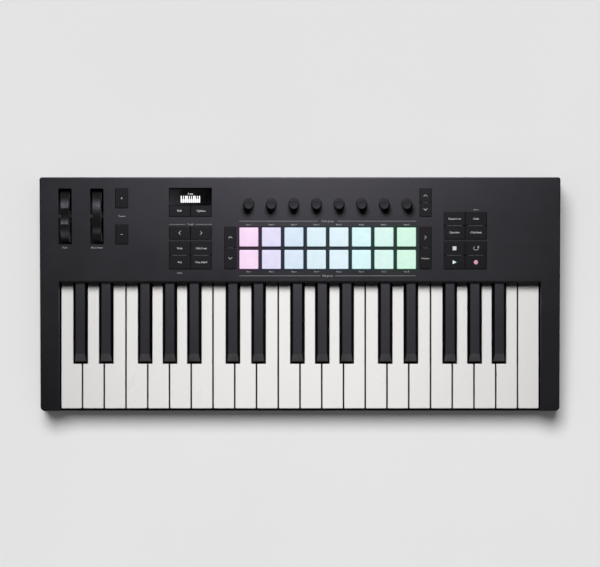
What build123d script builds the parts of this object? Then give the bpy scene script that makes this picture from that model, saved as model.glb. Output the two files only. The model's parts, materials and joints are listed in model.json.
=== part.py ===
"""A 37-key keyboard controller with pads, endless knobs and two wheels.

Millimetres. The origin is under the middle of the instrument, on the surface
it stands on: +X is to the player's right, +Y is away from the player, +Z is up.
The control panel is a flat sheet that rises towards the back. "Panel height"
means distance along the panel's normal, counted from its outer surface.
"""

import os
from math import cos, radians, sin, tan

from build123d import *

os.makedirs("parts", exist_ok=True)

# ---- case ----
CASE_W, CASE_D = 556.0, 250.0
FRONT_CORNER_R, REAR_CORNER_R = 4.3, 2.7
WALL = 2.4
TOP_EDGE_R = 1.1
FLOOR_Z = 3.0  # underside of the lower case, held up by the feet
SPLIT_Z = 24.0  # where the lower case's side walls end
WALL_CELL_SPARE = 0.5  # how far inside the walls the case is divided into solids
SEAM = 0.3
PANEL_TILT = 4.5
PANEL_Z = 53.0  # outer surface of the panel above the origin
PANEL_FRONT_Y = 12.3  # the panel's edge over the keys
PANEL_EDGE_CUT = (2.1, 1.9)  # the bevel along that edge, back and down
CHEEK_INNER_X = 257.8
CHEEK_CAVITY_X = CHEEK_INNER_X + WALL
SKIRT_Y = (19.8, 21.2)  # a skirt under the panel that hides what is behind the keys
SKIRT_LOW_Z = 39.0
FRONT_WALL_T = 1.8
FRONT_WALL_TOP_Z = 28.0
CUT = 200.0  # longer than anything it cuts through

# ---- keys ----
WHITE_COUNT = 22
WHITE_PITCH = 23.33
WHITE_GAP = 1.6
WHITE_FRONT_Y = -122.3
WHITE_TOP_Z = 39.5
WHITE_SKIRT_Z = 29.0  # underside of a white key behind its head
WHITE_HEAD_Z = 24.0  # underside of the head, where the fingers play
WHITE_EDGE_R = 0.7
KEY_WALL = 1.8
KEY_TOP_T = 2.0
NOTCH_Y = -74.6  # where the white heads end and the black keys begin
TAIL_END_Y = 19.0
BLACK_BASE_W, BLACK_TOP_W = 13.2, 10.1
BLACK_SIDE_GAP = 1.2
BLACK_FRONT_Y = -71.8
BLACK_SLOPE_TOP_Y = -63.7
BLACK_TOP_Z = 50.4
BLACK_UNDER_Z = 31.0
BLACK_END_Y = 18.0
BLACK_EDGE_R = 0.9
# how far each black key sits to the right of the seam between its two white keys
BLACK_OFFSETS = {"cs": -1.95, "ds": 2.25, "fs": -2.7, "gs": 0.55, "as": 3.4}
BLACK_AFTER = {"c": "cs", "d": "ds", "f": "fs", "g": "gs", "a": "as"}
WHITE_NAMES = "cdefgab"

PIVOT_Y, PIVOT_Z = 42.0, 33.0
PIVOT_BAR_R = 2.0
PIVOT_BORE_R = 2.08
HOOK_R = 4.6
HOOK_MOUTH = 3.2
ARM_W = 8.0
ARM_Z = (31.0, 38.0)
PLUNGER_Z = 21.0
PLUNGER_W = 4.0

# ---- controls: where they are in plan, and their sizes ----
PAD_SIZE, PAD_PITCH_X = 20.4, 24.05
PAD_COLUMNS = 8
PAD_FIRST_X = -54.6
PAD_ROWS_Y = (61.0, 37.05)
PAD_RISE = 2.0
PAD_CORNER_R = 0.8
PAD_SLOT_GAP = 0.3
PAD_WEB = (-4.4, -3.4)  # panel heights of the sheet that joins the pads
PAD_WEB_MARGIN = 1.4

KNOB_Y = 97.0
KNOB_BASE_R, KNOB_TOP_R = 6.0, 5.1
KNOB_LOW, KNOB_HIGH = 0.6, 14.6
KNOB_EDGE_R = 0.7
KNOB_SHAFT_R, KNOB_SHAFT_TOP, KNOB_SHAFT_END = 3.0, 12.0, -9.5
KNOB_HOLE_R = 4.5

BUTTON_RISE = 1.2
BUTTON_LOW = -3.8
BUTTON_CORNER_R = 0.8
BUTTON_EDGE_R = 0.4
BUTTON_SLOT_GAP = 0.35
BUTTON_SPLIT = 0.5  # between two caps in one opening
BUTTON_STEM_R, BUTTON_STEM_END = 1.8, -7.5
BLOCK_W = 46.0
COLUMN_W = 13.1
# each group of caps: centre x, centre y, width, depth, columns, rows
LEFT_GROUPS = {
    "octave_up": (-190.3, 102.6, 13.9, 21.2, 1, 1),
    "octave_down": (-190.3, 64.1, 13.9, 21.2, 1, 1),
    "screen_keys": (-117.0, 89.1, BLOCK_W, 12.2, 2, 1),
    "track_keys": (-117.0, 65.65, BLOCK_W, 13.9, 2, 1),
    "mode_keys": (-117.0, 41.8, BLOCK_W, 29.8, 2, 2),
    "pad_scroll_keys": (-74.4, 49.7, COLUMN_W, 45.4, 1, 2),
}
RIGHT_GROUPS = {
    "knob_scroll_keys": (134.0, 98.05, COLUMN_W, 30.3, 1, 2),
    "launch_keys": (134.0, 49.7, COLUMN_W, 45.4, 1, 2),
    "edit_keys": (176.5, 73.4, BLOCK_W, 29.4, 2, 2),
    "transport_keys": (176.5, 41.8, BLOCK_W, 29.8, 2, 2),
}
SCREEN_X, SCREEN_Y = -117.0, 104.3
SCREEN_W, SCREEN_D = 44.8, 17.4
SCREEN_BLOCK_Y, SCREEN_BLOCK_D = 98.4, 31.0
SCREEN_GLASS = (-1.6, -0.1)

WHEEL_SLOT_X = (-250.85, -216.85)
WHEEL_SLOT_Y = 83.3
WHEEL_SLOT_W, WHEEL_SLOT_L = 14.4, 59.7
WHEEL_SHIFT = -0.15  # the wheels stand left of their slots' middles
WHEEL_W, WHEEL_R = 9.6, 28.5
WHEEL_DEPTH = 18.0  # axle below the panel's surface
WHEEL_EDGE_R = 0.9
WHEEL_RIM_T, WHEEL_WEB_W, WHEEL_HUB_R = 6.0, 3.0, 6.5
AXLE_R, WHEEL_BORE_R = 3.0, 3.08
GRIP_CUT_R, GRIP_CUT_AT = 18.0, 43.0  # the finger hollow's cylinder and its distance
MOD_REST_TURN = 40.0  # the modulation wheel rests with its hollow this far towards the player
NIB_W, NIB_L = 1.1, 1.6

# ---- inside ----
CHASSIS_Z = (8.0, 10.4)
CHASSIS_X, CHASSIS_Y = 254.0, (-118.0, 54.0)
RIB_T = 1.6
WHITE_POST = (3.0, 9.0, -104.0, 28.0)  # width, length, y, top z
BLACK_POST = (3.0, 8.0, -52.0, 36.0)
BOARD_TOP, BOARD_T = -12.0, 1.6
SWITCH_SIZE, SWITCH_H = 6.0, 3.6
ENCODER_SIZE, ENCODER_TOP, BUSH_R, BUSH_TOP = 12.0, -5.5, 3.9, -0.4
BUSH_BORE_R = 3.06
PAD_BOARD_TOP = -5.2
IO_BOARD_Z = 26.0
SPRING_T, SPRING_W = 0.5, 5.0

# ---- sockets in the back wall ----
USB_X, MIDI_X, PEDAL_X, LOCK_X = -95.0, -65.0, -35.0, 30.0
USB_SIZE = (8.9, 3.2, 7.4)
MIDI_RING_R, MIDI_CORE_R, MIDI_DEPTH, MIDI_PIN_DEPTH = 6.8, 5.6, 9.0, 7.0
MIDI_HOLE_R = 7.6
PEDAL_BORE_R, PEDAL_BORE_L, PEDAL_BUSH_R = 3.25, 30.0, 5.2

# ---- fastenings ----
BOSS_R, BOSS_HOLE_R = 3.4, 1.5
SCREW_R, SCREW_HEAD_R, SCREW_HEAD_H, SCREW_L = 1.45, 2.8, 2.2, 17.0
HEAD_SEAT_Z = 15.0
BOSS_SEAT_Z = 22.0
BOSSES = [(side * 267.9, y) for side in (-1, 1) for y in (-112.0, -30.0, 60.0)]
BOSSES += [(x, 117.5) for x in (-180.0, -130.0, 60.0, 180.0)]
FOOT_R, FOOT_H, FOOT_RECESS = 8.0, 4.0, 1.0
FEET = [(side * 250.0, y) for side in (-1, 1) for y in (-105.0, 105.0)] + [(0.0, -105.0)]
CHASSIS_POSTS = [(x, y) for x in (-240.0, -80.0, 80.0, 240.0) for y in (-90.0, 30.0)]
IO_POSTS = [(-108.0, 93.0), (-20.0, 93.0)]
BOARD_POST_R = 2.4
BOARD_POSTS = [(x, y) for x in (-155.0, -87.5, 147.0) for y in (33.0, 104.0)]

COS_TILT = cos(radians(PANEL_TILT))
PANEL = Plane(
    origin=(0, 0, PANEL_Z),
    x_dir=(1, 0, 0),
    z_dir=(0, -sin(radians(PANEL_TILT)), COS_TILT),
)


# ---- helpers ----
def save(node, *pieces):
    """Writes one node's STEP file from its separate solids."""
    shape = pieces[0] if len(pieces) == 1 else Compound(children=list(pieces))
    export_step(shape, f"parts/{node}.step")


def block(x_range, y_range, z_range):
    """A box between two limits on each axis."""
    sizes = [high - low for low, high in (x_range, y_range, z_range)]
    centre = [(high + low) / 2 for low, high in (x_range, y_range, z_range)]
    return Pos(*centre) * Box(*sizes)


def panel_at(x, y, height=0.0):
    """The panel's own frame over plan point (x, y), at a panel height."""
    return PANEL.location * Pos(x, y / COS_TILT, height)


def panel_surface_z(y):
    return PANEL_Z + y * tan(radians(PANEL_TILT))


def panel_block(x, y, width, depth, low, high, corner=0.0):
    """A block square to the panel between two panel heights."""
    outline = RectangleRounded(width, depth, corner) if corner else Rectangle(width, depth)
    return panel_at(x, y, low) * extrude(outline, high - low)


def panel_rod(x, y, radius, low, high):
    return panel_at(x, y, low) * extrude(Circle(radius), high - low)


def above_panel(height):
    """Everything over a panel height, for cutting."""
    return panel_at(0, 0, height) * Pos(0, 0, CUT / 2) * Box(2 * CASE_W, 2 * CASE_D, CUT)


def footprint(inset=0.0):
    """The case's plan outline, taken in by a wall thickness."""
    outline = Rectangle(CASE_W - 2 * inset, CASE_D - 2 * inset)
    corners = outline.vertices().sort_by(Axis.Y)
    outline = fillet(corners[:2], FRONT_CORNER_R - inset)
    return fillet(outline.vertices().sort_by(Axis.Y)[-2:], max(REAR_CORNER_R - inset, 0.3))


def x_rod(x_range, y, z, radius):
    """A round bar along X."""
    length = x_range[1] - x_range[0]
    return Pos(sum(x_range) / 2, y, z) * Rot(0, 90, 0) * Cylinder(radius, length)


def upright(x, y, z_range, radius):
    return Pos(x, y, z_range[0]) * extrude(Circle(radius), z_range[1] - z_range[0])


def pad_centres():
    return [(PAD_FIRST_X + i * PAD_PITCH_X, y) for y in PAD_ROWS_Y for i in range(PAD_COLUMNS)]


def knob_xs():
    return [PAD_FIRST_X + i * PAD_PITCH_X for i in range(PAD_COLUMNS)]


def cap_places(group):
    """Centre x, centre y, width and depth of each cap in a group."""
    x, y, width, depth, columns, rows = group
    cap_w = (width - 2 * BUTTON_SLOT_GAP - (columns - 1) * BUTTON_SPLIT) / columns
    cap_d = (depth - 2 * BUTTON_SLOT_GAP - (rows - 1) * BUTTON_SPLIT) / rows
    steps_x = [(c - (columns - 1) / 2) * (cap_w + BUTTON_SPLIT) for c in range(columns)]
    steps_y = [((rows - 1) / 2 - r) * (cap_d + BUTTON_SPLIT) for r in range(rows)]
    return [(x + dx, y + dy, cap_w, cap_d) for dy in steps_y for dx in steps_x]


# ---- case ----
def wall_cells():
    """Upright cells: the left wall's, the right wall's, the room's, the rear and front walls'."""
    x, y = CASE_W / 2 - WALL - WALL_CELL_SPARE, CASE_D / 2 - WALL - WALL_CELL_SPARE
    across = [(-CASE_W, -x), (x, CASE_W), (-x, x)]
    cells = [block(span, (-y, y), (0, CUT)) for span in across]
    ends = [(y, CASE_D), (-CASE_D, -y)]
    return cells + [block((-CASE_W, CASE_W), end, (0, CUT)) for end in ends]


def solids_in(shape, cells):
    """Every solid of a shape, once it is divided between some cells."""
    return [solid for cell in cells for solid in (shape & cell).solids()]


def top_case():
    """The upper moulding: control panel, two cheeks beside the keys, and the outer walls.

    It is one moulding with no seam, drawn as solids that meet flush: the panel's sheet, the
    walls and bosses under it, and a cheek on each side in front of the panel.
    """
    outer = Pos(0, 0, SPLIT_Z + SEAM) * extrude(footprint(), CUT / 2)
    outer -= above_panel(0)
    rim = outer.faces().sort_by(Axis.Z)[-1].edges()
    outer = fillet(rim, TOP_EDGE_R)

    cavity = Pos(0, 0, SPLIT_Z - 1) * extrude(footprint(WALL), CUT / 2)
    cavity -= above_panel(-WALL)
    cavity -= block((-CHEEK_CAVITY_X, CHEEK_CAVITY_X), (-CASE_D, PANEL_FRONT_Y - 1), (0, CUT))
    key_well = block((-CHEEK_INNER_X, CHEEK_INNER_X), (-CASE_D, PANEL_FRONT_Y), (0, CUT))
    shell = outer - cavity - key_well - panel_edge_bevel()

    bosses = []
    for x, y in BOSSES:
        boss = upright(x, y, (BOSS_SEAT_Z + SEAM, CUT / 2), BOSS_R) - above_panel(-WALL)
        bosses.append(boss)
    bosses += [panel_rod(x, y, BOARD_POST_R, BOARD_TOP, -WALL + 0.5) for x, y in BOARD_POSTS]
    skirt = block((-CHEEK_CAVITY_X, CHEEK_CAVITY_X), SKIRT_Y, (SKIRT_LOW_Z, CUT / 2))
    bosses.append(skirt - above_panel(-WALL + 0.5))
    shell = shell.fuse(*bosses)
    reach = (-WALL - 1, PAD_RISE + 1)
    cuts = [upright(x, y, (BOSS_SEAT_Z, 42.0), BOSS_HOLE_R) for x, y in BOSSES]
    slot = PAD_SIZE + 2 * PAD_SLOT_GAP
    cuts += [panel_block(x, y, slot, slot, *reach, PAD_CORNER_R) for x, y in pad_centres()]
    cuts += [panel_rod(x, KNOB_Y, KNOB_HOLE_R, *reach) for x in knob_xs()]
    groups = {**LEFT_GROUPS, **RIGHT_GROUPS}
    del groups["screen_keys"]
    for x, y, width, depth, _, _ in groups.values():
        cuts.append(panel_block(x, y, width, depth, *reach, BUTTON_CORNER_R))
    recess = (SCREEN_X, SCREEN_BLOCK_Y, BLOCK_W, SCREEN_BLOCK_D)
    cuts.append(panel_block(*recess, *reach, BUTTON_CORNER_R))
    for x in WHEEL_SLOT_X:
        slot = panel_block(x, WHEEL_SLOT_Y, WHEEL_SLOT_W, WHEEL_SLOT_L, *reach, BUTTON_CORNER_R)
        nib_x = x + (WHEEL_SLOT_W - NIB_W) / 2
        cuts.append(slot - panel_block(nib_x, WHEEL_SLOT_Y, NIB_W, NIB_L, -WALL - 2, 0))
    cuts += socket_holes()
    shell = shell.cut(*cuts)
    beside_keys = block((-CASE_W, CASE_W), (-CASE_D, PANEL_FRONT_Y), (0, CUT))
    behind = shell - beside_keys
    *cells, _ = wall_cells()
    under = solids_in(behind - above_panel(-WALL), cells)
    return [*solids_in(shell, [beside_keys]), *solids_in(behind, [above_panel(-WALL)]), *under]


def panel_edge_bevel():
    """The wedge cut along the panel's edge over the keys."""
    back, down = PANEL_EDGE_CUT
    high = panel_surface_z(PANEL_FRONT_Y + back)
    wedge = Polyline(
        (PANEL_FRONT_Y - 1, high - down * (1 + 1 / back)),
        (PANEL_FRONT_Y + back, high),
        (PANEL_FRONT_Y + back, high + 1),
        (PANEL_FRONT_Y - 1, high + 1),
        close=True,
    )
    return extrude(Plane.YZ * make_face(wedge), CHEEK_INNER_X, both=True)


def back_wall_hole(outline, x, z):
    """A hole through the back wall, from an outline drawn as seen from behind."""
    plane = Plane(origin=(x, CASE_D / 2 + 1, z), x_dir=(-1, 0, 0), z_dir=(0, 1, 0))
    return plane.location * extrude(outline, -(WALL + 2))


def socket_holes():
    board = IO_BOARD_Z + BOARD_T
    return [
        back_wall_hole(RectangleRounded(10.2, 4.4, 2.1), USB_X, board + USB_SIZE[1] / 2),
        back_wall_hole(Circle(MIDI_HOLE_R), MIDI_X, board + 9.0),
        back_wall_hole(Circle(PEDAL_BUSH_R + 0.3), PEDAL_X, board + 6.5),
        back_wall_hole(RectangleRounded(7.4, 3.4, 0.6), LOCK_X, board + 6.0),
    ]


def bottom_case():
    """The lower tray, with the low wall in front of the keys.

    It is one moulding too, drawn as its floor, its four walls and the columns on the floor.
    """
    tray = Pos(0, 0, FLOOR_Z) * extrude(footprint(), SPLIT_Z - FLOOR_Z)
    tray -= Pos(0, 0, FLOOR_Z + WALL) * extrude(footprint(WALL), CUT)
    front = (-CASE_D / 2, -CASE_D / 2 + FRONT_WALL_T)
    added = [block((-257.2, 257.2), front, (SPLIT_Z - 1, FRONT_WALL_TOP_Z))]
    added += [upright(x, y, (FLOOR_Z, BOSS_SEAT_Z), BOSS_R + 0.8) for x, y in BOSSES]
    added += [upright(x, y, (FLOOR_Z + 1, CHASSIS_Z[0]), 3.0) for x, y in CHASSIS_POSTS]
    added += [upright(x, y, (FLOOR_Z + 1, IO_BOARD_Z), 3.0) for x, y in IO_POSTS]
    tray = tray.fuse(*added)
    cuts = [upright(x, y, (FLOOR_Z - 1, CUT), BOSS_HOLE_R + 0.2) for x, y in BOSSES]
    cuts += [upright(x, y, (FLOOR_Z - 1, HEAD_SEAT_Z), SCREW_HEAD_R + 0.3) for x, y in BOSSES]
    cuts += [upright(x, y, (FLOOR_Z - 1, FLOOR_Z + FOOT_RECESS), FOOT_R + 0.2) for x, y in FEET]
    tray = tray.cut(*cuts)
    floor = block((-CASE_W, CASE_W), (-CASE_D, CASE_D), (0, FLOOR_Z + WALL))
    return [*solids_in(tray, [floor]), *solids_in(tray - floor, wall_cells())]


def foot(x, y):
    """A rubber disc with a rounded lower rim, set into the case's floor."""
    disc = upright(x, y, (0, FOOT_H), FOOT_R)
    return fillet(disc.edges().sort_by(Axis.Z)[:1], 0.8)


def case_screw(x, y):
    head = upright(x, y, (HEAD_SEAT_Z - SCREW_HEAD_H, HEAD_SEAT_Z), SCREW_HEAD_R)
    screw = head + upright(x, y, (HEAD_SEAT_Z, HEAD_SEAT_Z + SCREW_L), SCREW_R)
    drive = Pos(x, y, HEAD_SEAT_Z - SCREW_HEAD_H)
    for turn in (0, 90):
        screw -= drive * Rot(0, 0, turn) * Box(3.4, 0.8, 2.4)
    return screw


# ---- keys ----
def key_layout():
    """Every white and black key from left to right, with the limits each is cut to."""
    left_end = -WHITE_COUNT * WHITE_PITCH / 2
    clear = BLACK_BASE_W / 2 + BLACK_SIDE_GAP
    whites, blacks = [], []
    for i in range(WHITE_COUNT):
        note, octave = WHITE_NAMES[i % 7], i // 7 + 1
        cell = left_end + i * WHITE_PITCH
        head = (cell + WHITE_GAP / 2, cell + WHITE_PITCH - WHITE_GAP / 2)
        whites.append({"name": f"white_key_{note}{octave}", "head": head, "tail": list(head)})
        if note in BLACK_AFTER and i < WHITE_COUNT - 1:
            sharp = BLACK_AFTER[note]
            x = cell + WHITE_PITCH + BLACK_OFFSETS[sharp]
            blacks.append({"name": f"black_key_{sharp}{octave}", "x": x, "after": i})
    for black in blacks:
        whites[black["after"]]["tail"][1] = black["x"] - clear
        whites[black["after"] + 1]["tail"][0] = black["x"] + clear
    for white in whites:
        white["x"] = sum(white["tail"]) / 2
    return whites, blacks


def key_arm(x, start_y):
    """The narrow arm behind a key, its snap-on pivot hook and its switch plunger."""
    half = ARM_W / 2
    arm = block((x - half, x + half), (start_y - 1, PIVOT_Y), ARM_Z)
    arm += x_rod((x - half, x + half), PIVOT_Y, PIVOT_Z, HOOK_R)
    arm -= x_rod((x - half - 1, x + half + 1), PIVOT_Y, PIVOT_Z, PIVOT_BORE_R)
    mouth = (PIVOT_Y - HOOK_MOUTH / 2, PIVOT_Y + HOOK_MOUTH / 2)
    return arm - block((x - half - 1, x + half + 1), mouth, (PIVOT_Z - 2 * HOOK_R, PIVOT_Z))


def plunger(x, top_z):
    half = PLUNGER_W / 2
    return block((x - half, x + half), (-1.5, 1.5), (PLUNGER_Z, top_z))


def white_key(key):
    """A white key: a moulded shell, open underneath, cut away beside the black keys."""
    (head_l, head_r), (tail_l, tail_r) = key["head"], key["tail"]
    outline = [(head_l, WHITE_FRONT_Y), (head_r, WHITE_FRONT_Y), (head_r, NOTCH_Y)]
    outline += [(tail_r, NOTCH_Y)] if tail_r < head_r else []
    outline += [(tail_r, TAIL_END_Y), (tail_l, TAIL_END_Y)]
    outline += [(tail_l, NOTCH_Y), (head_l, NOTCH_Y)] if tail_l > head_l else []
    face = make_face(Polyline(*outline, close=True))
    face = fillet(face.vertices().sort_by(Axis.Y)[:2], 1.0)
    body = Pos(0, 0, WHITE_SKIRT_Z) * extrude(face, WHITE_TOP_Z - WHITE_SKIRT_Z)
    body = fillet(body.faces().sort_by(Axis.Z)[-1].edges(), WHITE_EDGE_R)
    skirt = face & (Pos(0, (WHITE_FRONT_Y + NOTCH_Y) / 2) * Rectangle(CASE_W * 2, NOTCH_Y - WHITE_FRONT_Y))
    body += Pos(0, 0, WHITE_HEAD_Z) * extrude(skirt, WHITE_SKIRT_Z - WHITE_HEAD_Z)

    inner_top = WHITE_TOP_Z - KEY_TOP_T
    head_y = (WHITE_FRONT_Y + KEY_WALL, NOTCH_Y - KEY_WALL)
    head_x = (head_l + KEY_WALL, head_r - KEY_WALL)
    tail_x = (tail_l + KEY_WALL, tail_r - KEY_WALL)
    body -= block(head_x, head_y, (0, inner_top))
    body -= block(tail_x, (head_y[1] - 1, TAIL_END_Y - KEY_WALL), (0, inner_top))
    return body + key_arm(key["x"], TAIL_END_Y) + plunger(key["x"], inner_top + 1)


def black_key(key):
    """A black key: tapered sides, a sloping nose, open underneath."""
    side = Polyline(
        (BLACK_FRONT_Y, BLACK_UNDER_Z),
        (BLACK_FRONT_Y, WHITE_TOP_Z),
        (BLACK_SLOPE_TOP_Y, BLACK_TOP_Z),
        (BLACK_END_Y, BLACK_TOP_Z),
        (BLACK_END_Y, BLACK_UNDER_Z),
        close=True,
    )
    body = extrude(Plane.YZ * make_face(side), BLACK_BASE_W / 2, both=True)
    base, top = BLACK_BASE_W / 2, BLACK_TOP_W / 2
    taper_z = WHITE_TOP_Z - 1.5
    section = Polyline(
        (-base, BLACK_UNDER_Z),
        (base, BLACK_UNDER_Z),
        (base, taper_z),
        (top, BLACK_TOP_Z),
        (-top, BLACK_TOP_Z),
        (-base, taper_z),
        close=True,
    )
    body &= extrude(Plane.XZ * make_face(section), CUT, both=True)
    crown = body.faces().sort_by(Axis.Z)[-1]
    nose = body.faces().sort_by(Axis.Z)[-2]
    edges = ShapeList([e for e in crown.edges() + nose.edges() if e.center().Z > WHITE_TOP_Z + 1])
    edges = edges.filter_by(lambda e: e.center().Y < BLACK_END_Y - 1)
    body = fillet(unique(edges), BLACK_EDGE_R)
    inner = top - KEY_WALL
    top_z = BLACK_TOP_Z - KEY_TOP_T
    body -= block((-inner, inner), (BLACK_SLOPE_TOP_Y + 3, BLACK_END_Y - KEY_WALL), (0, top_z))
    body += key_arm(0, BLACK_END_Y) + plunger(0, top_z + 1)
    return Pos(key["x"], 0, 0) * body


def unique(edges):
    """The edges, each once."""
    kept = []
    for edge in edges:
        if not any((edge.center() - other.center()).length < 1e-6 for other in kept):
            kept.append(edge)
    return kept


def key_chassis(whites, blacks):
    """The frame under the keys: plate, round pivot bar on ribs, and one guide post for each key."""
    arms = sorted(key["x"] for key in whites + blacks)
    between = [(a + b) / 2 for a, b in zip(arms, arms[1:])]
    rib_xs = [arms[0] - ARM_W / 2 - 2.5, *between, arms[-1] + ARM_W / 2 + 2.5]
    top = CHASSIS_Z[1]
    plate = block((-CHASSIS_X, CHASSIS_X), CHASSIS_Y, CHASSIS_Z)
    added = [x_rod((rib_xs[0] - RIB_T / 2, rib_xs[-1] + RIB_T / 2), PIVOT_Y, PIVOT_Z, PIVOT_BAR_R)]
    rib_y = (PIVOT_Y - 4.0, PIVOT_Y + 4.0)
    for x in rib_xs:
        added.append(block((x - RIB_T / 2, x + RIB_T / 2), rib_y, (top - 1, PIVOT_Z)))
    for keys, (width, length, y, post_top) in ((whites, WHITE_POST), (blacks, BLACK_POST)):
        for key in keys:
            x = sum(key["head"]) / 2 if "head" in key else key["x"]
            sides = (x - width / 2, x + width / 2), (y - length / 2, y + length / 2)
            added.append(block(*sides, (top - 1, post_top)))
    for y in (CHASSIS_Y[0] + RIB_T / 2, -30.0):
        added.append(block((-CHASSIS_X, CHASSIS_X), (y - RIB_T / 2, y + RIB_T / 2), (top - 1, top + 2.6)))
    return plate.fuse(*added)


def key_springs(whites, blacks):
    """One stamped comb of leaf springs, a finger under each key's arm."""
    low = CHASSIS_Z[1]
    comb = block((-CHASSIS_X, CHASSIS_X), (48.0, 53.5), (low, low + SPRING_T))
    root, bend, tip = (48.2, low), (39.0, 21.5), (27.5, 29.3)
    outline = Polyline(
        root,
        bend,
        tip,
        (tip[0], tip[1] + SPRING_T),
        (bend[0] + 0.3, bend[1] + SPRING_T),
        (root[0] + 0.6, root[1] + SPRING_T),
        close=True,
    )
    finger = extrude(Plane.YZ * make_face(outline), SPRING_W / 2, both=True)
    return comb.fuse(*[Pos(key["x"], 0, 0) * finger for key in whites + blacks])


# ---- controls ----
def pad_mat():
    """Sixteen pads moulded in one translucent silicone sheet."""
    xs = [x for x, _ in pad_centres()]
    half = PAD_SIZE / 2 + PAD_WEB_MARGIN
    centre = (min(xs) + max(xs)) / 2, sum(PAD_ROWS_Y) / 2
    size = max(xs) - min(xs) + 2 * half, PAD_ROWS_Y[0] - PAD_ROWS_Y[1] + 2 * half
    mat = panel_block(*centre, *size, *PAD_WEB)
    pads = []
    for x, y in pad_centres():
        pad = extrude(RectangleRounded(PAD_SIZE, PAD_SIZE, PAD_CORNER_R), PAD_RISE - PAD_WEB[0])
        pad = fillet(pad.faces().sort_by(Axis.Z)[-1].edges(), 0.6)
        pads.append(panel_at(x, y, PAD_WEB[0]) * pad)
    return mat.fuse(*pads)


def button_cap(x, y, width, depth):
    """One cap, with the stem that reaches its switch."""
    cap = extrude(RectangleRounded(width, depth, BUTTON_CORNER_R), BUTTON_RISE - BUTTON_LOW)
    cap = fillet(cap.faces().sort_by(Axis.Z)[-1].edges(), BUTTON_EDGE_R)
    cap = Pos(0, 0, BUTTON_LOW) * cap
    cap += Pos(0, 0, BUTTON_STEM_END) * extrude(Circle(BUTTON_STEM_R), BUTTON_LOW - BUTTON_STEM_END)
    return panel_at(x, y) * cap


def button_caps(groups):
    return [button_cap(*place) for group in groups.values() for place in cap_places(group)]


def knob(x):
    """A tapered knob with a dished top, and the shaft pressed into it."""
    cap = Pos(0, 0, KNOB_LOW) * extrude(Circle(KNOB_BASE_R), 1.2)
    height = KNOB_HIGH - KNOB_LOW - 1.2
    cap += Pos(0, 0, KNOB_LOW + 1.2) * Solid.make_cone(KNOB_BASE_R, KNOB_TOP_R, height)
    cap = fillet(cap.edges().sort_by(Axis.Z)[-1:], KNOB_EDGE_R)
    cap -= Pos(0, 0, KNOB_HIGH + 19.6) * Sphere(20.0)
    cap -= Pos(0, 0, KNOB_LOW - 1) * extrude(Circle(KNOB_SHAFT_R), KNOB_SHAFT_TOP - KNOB_LOW + 1)
    shaft = Pos(0, 0, KNOB_SHAFT_END) * extrude(Circle(KNOB_SHAFT_R), KNOB_SHAFT_TOP - KNOB_SHAFT_END)
    return [panel_at(x, KNOB_Y) * cap, panel_at(x, KNOB_Y) * shaft]


def axle_z():
    return panel_surface_z(WHEEL_SLOT_Y) - WHEEL_DEPTH


def wheel(slot_x, turn):
    """A bend wheel with a hollow for the finger, turned about X from straight up."""
    disc = Rot(0, 90, 0) * Cylinder(WHEEL_R, WHEEL_W)
    grip = Pos(0, 0, GRIP_CUT_AT) * Rot(0, 90, 0) * Cylinder(GRIP_CUT_R, 2 * WHEEL_W)
    disc -= grip
    rim = [e for face in disc.faces().filter_by(Axis.X) for e in face.edges()]
    disc = fillet(rim, WHEEL_EDGE_R)
    pocket = (WHEEL_W - WHEEL_WEB_W) / 2
    ring = Cylinder(WHEEL_R - WHEEL_RIM_T, pocket) - Cylinder(WHEEL_HUB_R, pocket)
    for side in (-1, 1):
        disc -= Pos(side * (WHEEL_WEB_W + pocket) / 2, 0, 0) * Rot(0, 90, 0) * ring
    disc -= Rot(0, 90, 0) * Cylinder(WHEEL_BORE_R, 2 * WHEEL_W)
    return Pos(slot_x + WHEEL_SHIFT, WHEEL_SLOT_Y, axle_z()) * Rot(turn, 0, 0) * disc


def wheel_bracket():
    """The black well that both wheels turn in, with their axle."""
    wall, gap = 1.4, 0.3
    outer_half = WHEEL_SLOT_W / 2 + gap + wall
    y_range = (51.3, 115.4)
    z_range = (CHASSIS_Z[1] + SPRING_T + 0.3, CUT / 2)
    well = block((WHEEL_SLOT_X[0] - outer_half, WHEEL_SLOT_X[1] + outer_half), y_range, z_range)
    inside_y = (y_range[0] + wall, y_range[1] - wall)
    inside_z = (z_range[0] + wall, CUT)
    bays = [(x - outer_half + wall, x + outer_half - wall) for x in WHEEL_SLOT_X]
    bays.append((WHEEL_SLOT_X[0] + outer_half, WHEEL_SLOT_X[1] - outer_half))
    for bay in bays:
        well -= block(bay, inside_y, inside_z)
    well -= above_panel(-WALL)
    ends = (WHEEL_SLOT_X[0] - outer_half + 0.2, WHEEL_SLOT_X[1] + outer_half - 0.2)
    return well + x_rod(ends, WHEEL_SLOT_Y, axle_z(), AXLE_R)


def display_module():
    """The dark glass over the small screen, and the screen's carrier on the board."""
    glass = panel_block(SCREEN_X, SCREEN_Y, SCREEN_W, SCREEN_D, *SCREEN_GLASS, 0.6)
    carrier = panel_block(SCREEN_X, SCREEN_Y, 38.0, 14.0, BOARD_TOP, SCREEN_GLASS[0])
    return [glass, carrier]


# ---- electronics ----
def encoder_body(x):
    body = panel_block(x, KNOB_Y, ENCODER_SIZE, ENCODER_SIZE, BOARD_TOP, ENCODER_TOP)
    body += panel_rod(x, KNOB_Y, BUSH_R, ENCODER_TOP, BUSH_TOP)
    return body - panel_rod(x, KNOB_Y, BUSH_BORE_R, KNOB_SHAFT_END - 0.5, BUSH_TOP + 1)


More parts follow.
